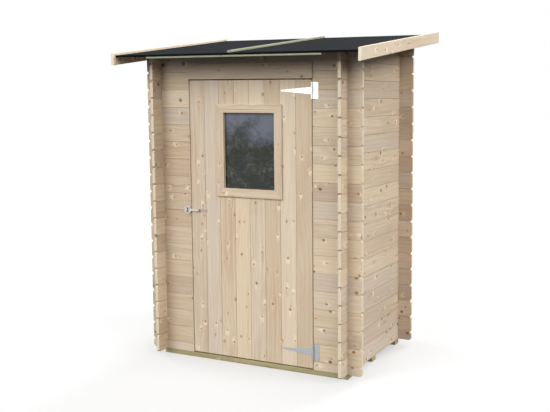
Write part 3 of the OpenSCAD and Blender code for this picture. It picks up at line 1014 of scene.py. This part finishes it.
class SHED_OT_roof(bpy.types.Operator):
    """Purlins, deck, felt, bargeboards and battens"""
    bl_idname = "shed.roof"
    bl_label = "Roof"

    def execute(self, context):
        self.deck()
        self.purlins()
        self.bargeboards()
        self.battens()
        for name in ("felt_left", "felt_right"):
            self.felt(name)
        return {"FINISHED"}

    def deck(self):
        join = Joinery("deck")
        for x0, x1 in fitted(DECK[0].x, DECK[1].x, sizes().deck_board):
            section = (x0, x1, 0, sizes().deck_thickness)
            join.straight((DECK[0].y, DECK[1].y), section, pitched)
        join.finish("deck_boards", shade_painted_boards(), "shed", "spruce", "roof_deck")

    def purlins(self):
        join = Joinery("purlins")
        for name in PURLINS:
            lo, hi = span(name)
            mid = (lo.y + hi.y) / 2

            def place(u, v, w):
                return (u, v, deck_z(mid) + w + pitch() * (v - mid))
            section = (lo.y, hi.y, -sizes().purlin_height, -BEDDING)
            join.straight((lo.x, hi.x), section, place)
        join.finish("purlins", spruce(), "shed", "spruce", *PURLINS)

    def bargeboards(self):
        """Both stand back by the height of the nail heads on their outer faces."""
        for name in ("bargeboard_left", "bargeboard_right"):
            lo, hi = span(name)
            rise = pitch() * (hi.y - lo.y)
            w0 = lo.z - deck_z(lo.y)
            w1 = hi.z - rise - deck_z(lo.y)
            x0, x1 = (lo.x + NAIL_RISE, hi.x) if lo.x < 0 else (lo.x, hi.x - NAIL_RISE)
            join = Joinery(name)
            join.straight((lo.y, hi.y), (x0, x1, w0, w1), pitched)
            join.finish(name + "_planed", cream_wood(), "shed", "spruce", name)

    def battens(self):
        join = Joinery("battens")
        lo, hi = span("seam_batten")
        section = (lo.x, hi.x, lo.z - deck_z(lo.y), hi.z - deck_z(hi.y))
        join.straight((lo.y, hi.y), section, pitched)
        lo, hi = span("front_batten")
        section = (lo.y, hi.y, lo.z - deck_z(lo.y), -BEDDING)
        join.straight((lo.x, hi.x), section, under_deck)
        join.finish("battens", batten_wood(), "shed", "treated", "seam_batten", "front_batten")

    def felt_section(self, front, back, top):
        """Outer and inner line of a strip from its front edge to the back, as (y, height over the deck)."""
        fold = FELT_FOLD
        outer = [(front, 0.0), (front, top - fold)]
        for i in range(1, FOLD_STEPS + 1):
            angle = math.pi / 2 * i / FOLD_STEPS
            outer.append((front + fold * (1 - math.cos(angle)), top - fold + fold * math.sin(angle)))
        run = back - front - fold
        outer += [(front + fold + run * i / FELT_ROWS, top) for i in range(1, FELT_ROWS + 1)]
        inner = []
        bed = sizes().deck_thickness + BEDDING
        edge = DECK[0].y - BEDDING
        for y, w in outer:
            inner.append((max(y, edge), min(w, bed) if y < edge + 1e-9 else bed))
        return outer, inner

    def felt(self, name):
        """One strip, laid a little unevenly and folded over the front edge."""
        lo, hi = span(name)
        top = hi.z - deck_z(hi.y)
        outer, inner = self.felt_section(lo.y, hi.y, top)
        bm = bmesh.new()
        above, under = [], []
        for c in range(FELT_COLUMNS + 1):
            x = lo.x + (hi.x - lo.x) * c / FELT_COLUMNS
            above.append([])
            under.append([])
            for (y, w), (yi, wi) in zip(outer, inner):
                sag = 0.5 + 0.5 * noise.noise(Vector((x * 5.0, y * 2.0, FELT_SEEDS[name])))
                dip = FELT_SAG * sag if w >= top - 1e-9 else 0.0
                above[c].append(bm.verts.new((x, y, deck_z(y) + w - dip)))
                under[c].append(bm.verts.new((x, yi, deck_z(yi) + wi)))
        last = len(outer) - 1
        for c in range(FELT_COLUMNS):
            a, b, d, e = above[c], above[c + 1], under[c], under[c + 1]
            for i in range(last):
                bm.faces.new((a[i], a[i + 1], b[i + 1], b[i]))
                bm.faces.new((d[i], e[i], e[i + 1], d[i + 1]))
            bm.faces.new((a[0], b[0], e[0], d[0]))
            bm.faces.new((a[last], d[last], e[last], b[last]))
        for a, d in ((above[0], under[0]), (above[-1], under[-1])):
            for i in range(last):
                bm.faces.new((a[i], d[i], d[i + 1], a[i + 1]))
        bmesh.ops.remove_doubles(bm, verts=bm.verts, dist=1e-6)
        bmesh.ops.recalc_face_normals(bm, faces=bm.faces)
        mesh = bpy.data.meshes.new(name)
        bm.to_mesh(mesh)
        bm.free()
        for face in mesh.polygons:
            face.use_smooth = True
        mesh.materials.append(roof_felt())
        settle(name + "_laid", mesh, "shed", "felt", name)


class SHED_OT_door(bpy.types.Operator):
    """Door boards, ledges, brace, window trim and pane"""
    bl_idname = "shed.door"
    bl_label = "Door"

    def execute(self, context):
        self.boards()
        self.ledges_and_brace()
        for node in ("window_trim_outer", "window_trim_inner"):
            self.trim(node)
        dress("window_glass", pane())
        return {"FINISHED"}

    def boards(self):
        """Upright boards, cut away round the pane."""
        lo, hi = LEAF
        left, right = GLASS[0].x, GLASS[1].x
        z0, z1, z2, z3 = lo.z, GLASS[0].z, GLASS[1].z, hi.z
        join = Joinery("door")
        for x0, x1 in strips(lo.x, hi.x, sizes().door_boards):
            whole = (lo.y, hi.y, x0, x1)
            if x0 >= right or x1 <= left:
                boards = [[(z0, whole), (z3, whole)]]
            elif x0 >= left and x1 <= right:
                boards = [[(z0, whole), (z1, whole)], [(z2, whole), (z3, whole)]]
            else:
                cut = (lo.y, hi.y, right if x1 > right else x0, left if x0 < left else x1)
                boards = [[(z0, whole), (z1, whole), (z1, cut), (z2, cut), (z2, whole), (z3, whole)]]
            for board in boards:
                join.plank([(z, *section) for z, section in board], upright)
        join.finish("door_boards", door_spruce(), "door", "spruce", "door_leaf")

    def ledges_and_brace(self):
        """The brace stands between the ledges and is as wide as they are tall."""
        join = Joinery("ledges")
        lo, hi = span("door_ledges")
        foot, head = span("door_brace")
        width = foot.z - lo.z
        for z in (lo.z, hi.z - width):
            join.slab((lo.x, lo.y, z), (hi.x, hi.y, z + width), 0)
        lean = ((head.x - foot.x) - width) / (head.z - foot.z)

        def leaning(u, v, w):
            return (w - lean * (u - foot.z), v, u)
        section = (foot.y, head.y, head.x - width, head.x)
        join.straight((foot.z, head.z), section, leaning)
        join.finish("ledges_and_brace", spruce(), "door", "spruce", "door_ledges", "door_brace")

    def trim(self, node):
        """Four mitred pieces round the pane."""
        lo, hi = span(node)
        across = (lo.x, GLASS[0].x, GLASS[1].x, hi.x)
        up = (lo.z, GLASS[0].z, GLASS[1].z, hi.z)
        join = Joinery(node)
        for (a0, a1, a2, a3), (b0, b1, b2, b3), place in ((across, up, level), (up, across, upright)):
            join.straight(((a0, a1), (a3, a2)), (lo.y, hi.y, b0, b1), place)
            join.straight(((a1, a0), (a2, a3)), (lo.y, hi.y, b2, b3), place)
        join.finish(node + "_mitred", door_spruce(), "door", "spruce", node)


# the fittings in each finish
FITTINGS = (
    # the upper hinge's zinc is a copy with a painted highlight
    (zinc, ("upper_hinge_plate", "upper_hinge_strap", "upper_hinge_pin")),
    (dull_zinc, ("lower_hinge_plate", "lower_hinge_strap", "lower_hinge_pin", "latch_staple")),
    (reflection_tinted_zinc, ("hasp_base",)),
    (strap_zinc, ("hasp_strap",)),
    (dull_zinc, ("hasp_pin",)),
)


class SHED_OT_fittings(bpy.types.Operator):
    """Hinges, latch and every fastener head"""
    bl_idname = "shed.fittings"
    bl_label = "Fittings"

    def execute(self, context):
        for finish, nodes in FITTINGS:
            for node in nodes:
                dress(node, finish())
        self.hinge_screws("upper", zinc())
        self.hinge_screws("lower", dull_zinc())
        self.latch_screws()
        self.door_nails()
        self.felt_clouts()
        self.board_nails()
        return {"FINISHED"}

    def hinge_screws(self, end, finish):
        lo, hi = span(end + "_hinge_strap")
        y = LEAF[0].y - METAL - STRAP_GAP
        z = (lo.z + hi.z) / 2
        places = [(x, y, z) for x in between(hi.x, lo.x, STRAP_SCREWS)]
        screws(end + "_strap_screws", places, "door", finish)
        lo, hi = span(end + "_hinge_plate")
        x = hi.x - SCREW_INSET
        y = FRONT_Y - HINGE_PLATE
        places = [(x, y, z) for z in between(lo.z, hi.z, PLATE_SCREWS)]
        screws(end + "_plate_screws", places, "shed", finish)

    def latch_screws(self):
        lo, hi = span("hasp_base")
        y = LEAF[0].y - METAL
        z = (lo.z + hi.z) / 2
        places = [(x, y, z) for x in between(lo.x, hi.x, HASP_SCREWS)]
        screws("hasp_screws", places, "door", dull_zinc())
        lo, hi = span("latch_staple")
        x = (lo.x + hi.x) / 2
        y = FRONT_Y - METAL
        places = [(x, y, z) for z in between(lo.z, hi.z, STAPLE_SCREWS)]
        screws("staple_screws", places, "shed", dull_zinc())

    def door_nails(self):
        """Two nails through each door board into each ledge."""
        ledges, brace = span("door_ledges"), span("door_brace")
        count = sizes().door_boards
        step = (LEAF[1].x - LEAF[0].x) / count
        y = LEAF[0].y - NAIL_PLAY
        points = []
        for base, top in ((ledges[0].z, brace[0].z), (brace[1].z, ledges[1].z)):
            for i in range(count):
                x = LEAF[0].x + (i + 0.5) * step
                for side, share in LEDGE_NAILS:
                    points.append(((x + side, y, base + share * (top - base)), OUT))
        heads("door_nails", points, sizes().nail_radius, NAIL_RISE, "door", dull_zinc())

    def felt_clouts(self):
        """A row of clouts along each side of the roof."""
        _, hi = span("felt_left")
        top = hi.z - deck_z(hi.y)
        x = DECK[0].x + CLOUT_INSET
        points = []
        for side in (-1, 1):
            for y in evenly(DECK[0].y, DECK[1].y, CLOUT_END, CLOUTS):
                points.append(((side * x, y, deck_z(y) + top - CLOUT_BED), off_roof()))
        heads("felt_clouts", points, sizes().clout_radius, CLOUT_RISE, "shed", dull_zinc())

    def board_nails(self):
        """Nails down the seam batten, and through the bargeboards into purlins and deck."""
        lo, hi = span("seam_batten")
        top = hi.z - deck_z(hi.y)
        places = evenly(lo.y, hi.y, EDGE_NAIL, BATTEN_NAILS)
        points = [((0, y, deck_z(y) + top), off_roof()) for y in places]
        for node, way in (("bargeboard_left", -1), ("bargeboard_right", 1)):
            lo, hi = span(node)
            x = lo.x + NAIL_RISE if way < 0 else hi.x - NAIL_RISE
            places = []
            for purlin in PURLINS:
                near, far = span(purlin)
                places += [((near.y + far.y) / 2, w) for w in PURLIN_NAILS]
            places += [(y, DECK_NAIL) for y in (DECK[0].y + EDGE_NAIL, DECK[1].y - EDGE_NAIL)]
            points += [((x, y, deck_z(y) + w), (way, 0, 0)) for y, w in places]
        heads("board_nails", points, sizes().nail_radius * BIG_NAIL, NAIL_RISE, "shed", dull_zinc())


# name, strength, then width and turn in degrees
SUNS = (
    ("front_left", 2.15, 48, (64, 0, -29)),
    ("front_right", 1.29, 42, (60.5, 0, 48)),
    ("right", 1.66, 30, (60, 0, 95)),
    ("left", 1.0, 30, (56, 0, -100)),
    ("rear", 1.9, 30, (56, 0, 172)),
)
LENS = 54.53                        # millimetres
LENS_SHIFT = (-0.132, -0.0316)
EYE = (2.5772, -4.2285, 1.6291)     # the second number is from the wall's front
EYE_DOWN = 6.358                    # degrees
EYE_TURN = 24.62                    # degrees
FLOOR_PALE = 0.36                   # the floor's cloudy grey under its glow
FLOOR_DULL = 0.35
FLOOR_GLOW = 0.42
FLOOR_BOUNCE = 0.015                # how pale it is to light that bounces


class SHED_OT_stage(bpy.types.Operator):
    """Floor, light and camera"""
    bl_idname = "shed.stage"
    bl_label = "Stage"

    def execute(self, context):
        scene = context.scene
        self.floor(scene)
        self.sky(scene)
        for name, power, spread, turn in SUNS:
            sun = bpy.data.lights.new(name, "SUN")
            sun.energy = power
            sun.angle = math.radians(spread)
            lamp = bpy.data.objects.new(name, sun)
            lamp.rotation_euler = [math.radians(v) for v in turn]
            scene.collection.objects.link(lamp)
        camera = bpy.data.cameras.new("view")
        camera.sensor_width = 36.0
        camera.sensor_fit = "HORIZONTAL"
        camera.lens = LENS
        camera.shift_x, camera.shift_y = LENS_SHIFT
        camera.clip_end = 200
        eye = bpy.data.objects.new("view", camera)
        eye.location = (EYE[0], FRONT_Y + EYE[1], EYE[2])
        eye.rotation_euler = (math.radians(90 - EYE_DOWN), 0, math.radians(EYE_TURN))
        scene.collection.objects.link(eye)
        scene.camera = eye
        scene.view_settings.view_transform = "Standard"
        return {"FINISHED"}

    def floor(self, scene):
        """White to the eye, where it takes a soft shadow; it throws little light back at the shed."""
        half = 30.0
        mesh = bpy.data.meshes.new("ground")
        corners = [(-half, -half, 0), (half, -half, 0), (half, half, 0), (-half, half, 0)]
        mesh.from_pydata(corners, [], [(0, 1, 2, 3)])
        ground = bpy.data.objects.new("ground", mesh)
        scene.collection.objects.link(ground)
        n = Finish("pale_floor")
        seen = n.add("ShaderNodeLightPath")
        cloud = n.noise(n.here(), 1.2)
        pale = n.mix(n.times(cloud, 0.1), (FLOOR_PALE,) * 3, (FLOOR_DULL,) * 3)
        mesh.materials.append(n.surface({
            "Base Color": n.mix(seen["Is Camera Ray"], (FLOOR_BOUNCE,) * 3, pale),
            "Roughness": 0.9,
            "Emission Color": (1, 1, 1),
            "Emission Strength": n.scaled(seen["Is Glossy Ray"], FLOOR_GLOW,
                                          n.times(seen["Is Camera Ray"], FLOOR_GLOW)),
        }))

    def sky(self, scene):
        """White to the eye and in reflections; as light, a soft dome that fades at the horizon."""
        world = scene.world = bpy.data.worlds.new("studio")
        world.use_nodes = True
        n = Nodes(world.node_tree)
        height = n.parts(n.add("ShaderNodeTexCoord")["Generated"])[2]
        climb = {"Value": height, "From Max": 0.35, "To Min": 0.08, "To Max": 0.50}
        strength = n.add("ShaderNodeMapRange", climb)["Result"]
        dome = n.fill(n.tree.nodes["Background"], {"Color": (0.96, 0.98, 1.0), "Strength": strength})
        white = n.add("ShaderNodeBackground", {"Color": (1, 1, 1)})
        ray = n.add("ShaderNodeLightPath")
        seen = ray["Is Camera Ray"]
        for way in ("Is Glossy Ray", "Is Transmission Ray"):
            seen = n.math("MAXIMUM", seen, ray[way])
        blend = n.add("ShaderNodeMixShader", {0: seen, 1: dome[0], 2: white[0]})
        n.fill(n.tree.nodes["World Output"], {"Surface": blend[0]})


class SHED_PT_panel(bpy.types.Panel):
    """Lists the shed's settings and pieces"""
    bl_idname = "SHED_PT_panel"
    bl_label = "Tool shed"
    bl_space_type = "VIEW_3D"
    bl_region_type = "UI"
    bl_category = "Shed"

    def draw(self, context):
        for group in (context.scene.shed_sizes, context.scene.shed_colours):
            for key in group.__annotations__:
                self.layout.prop(group, key)
        for name in STEPS:
            self.layout.operator("shed." + name)


STEPS = ("base", "walls", "doorway", "roof", "door", "fittings", "stage")
CLASSES = (ShedSizes, ShedColours, SHED_OT_base, SHED_OT_walls, SHED_OT_doorway, SHED_OT_roof, SHED_OT_door,
           SHED_OT_fittings, SHED_OT_stage, SHED_PT_panel)


def register():
    for item in CLASSES:
        bpy.utils.register_class(item)
    bpy.types.Scene.shed_sizes = PointerProperty(type=ShedSizes)
    bpy.types.Scene.shed_colours = PointerProperty(type=ShedColours)


def unregister():
    del bpy.types.Scene.shed_colours
    del bpy.types.Scene.shed_sizes
    for item in reversed(CLASSES):
        bpy.utils.unregister_class(item)


def main():
    register()
    for name in STEPS:
        getattr(bpy.ops.shed, name)()


if __name__ == "__main__":
    main()
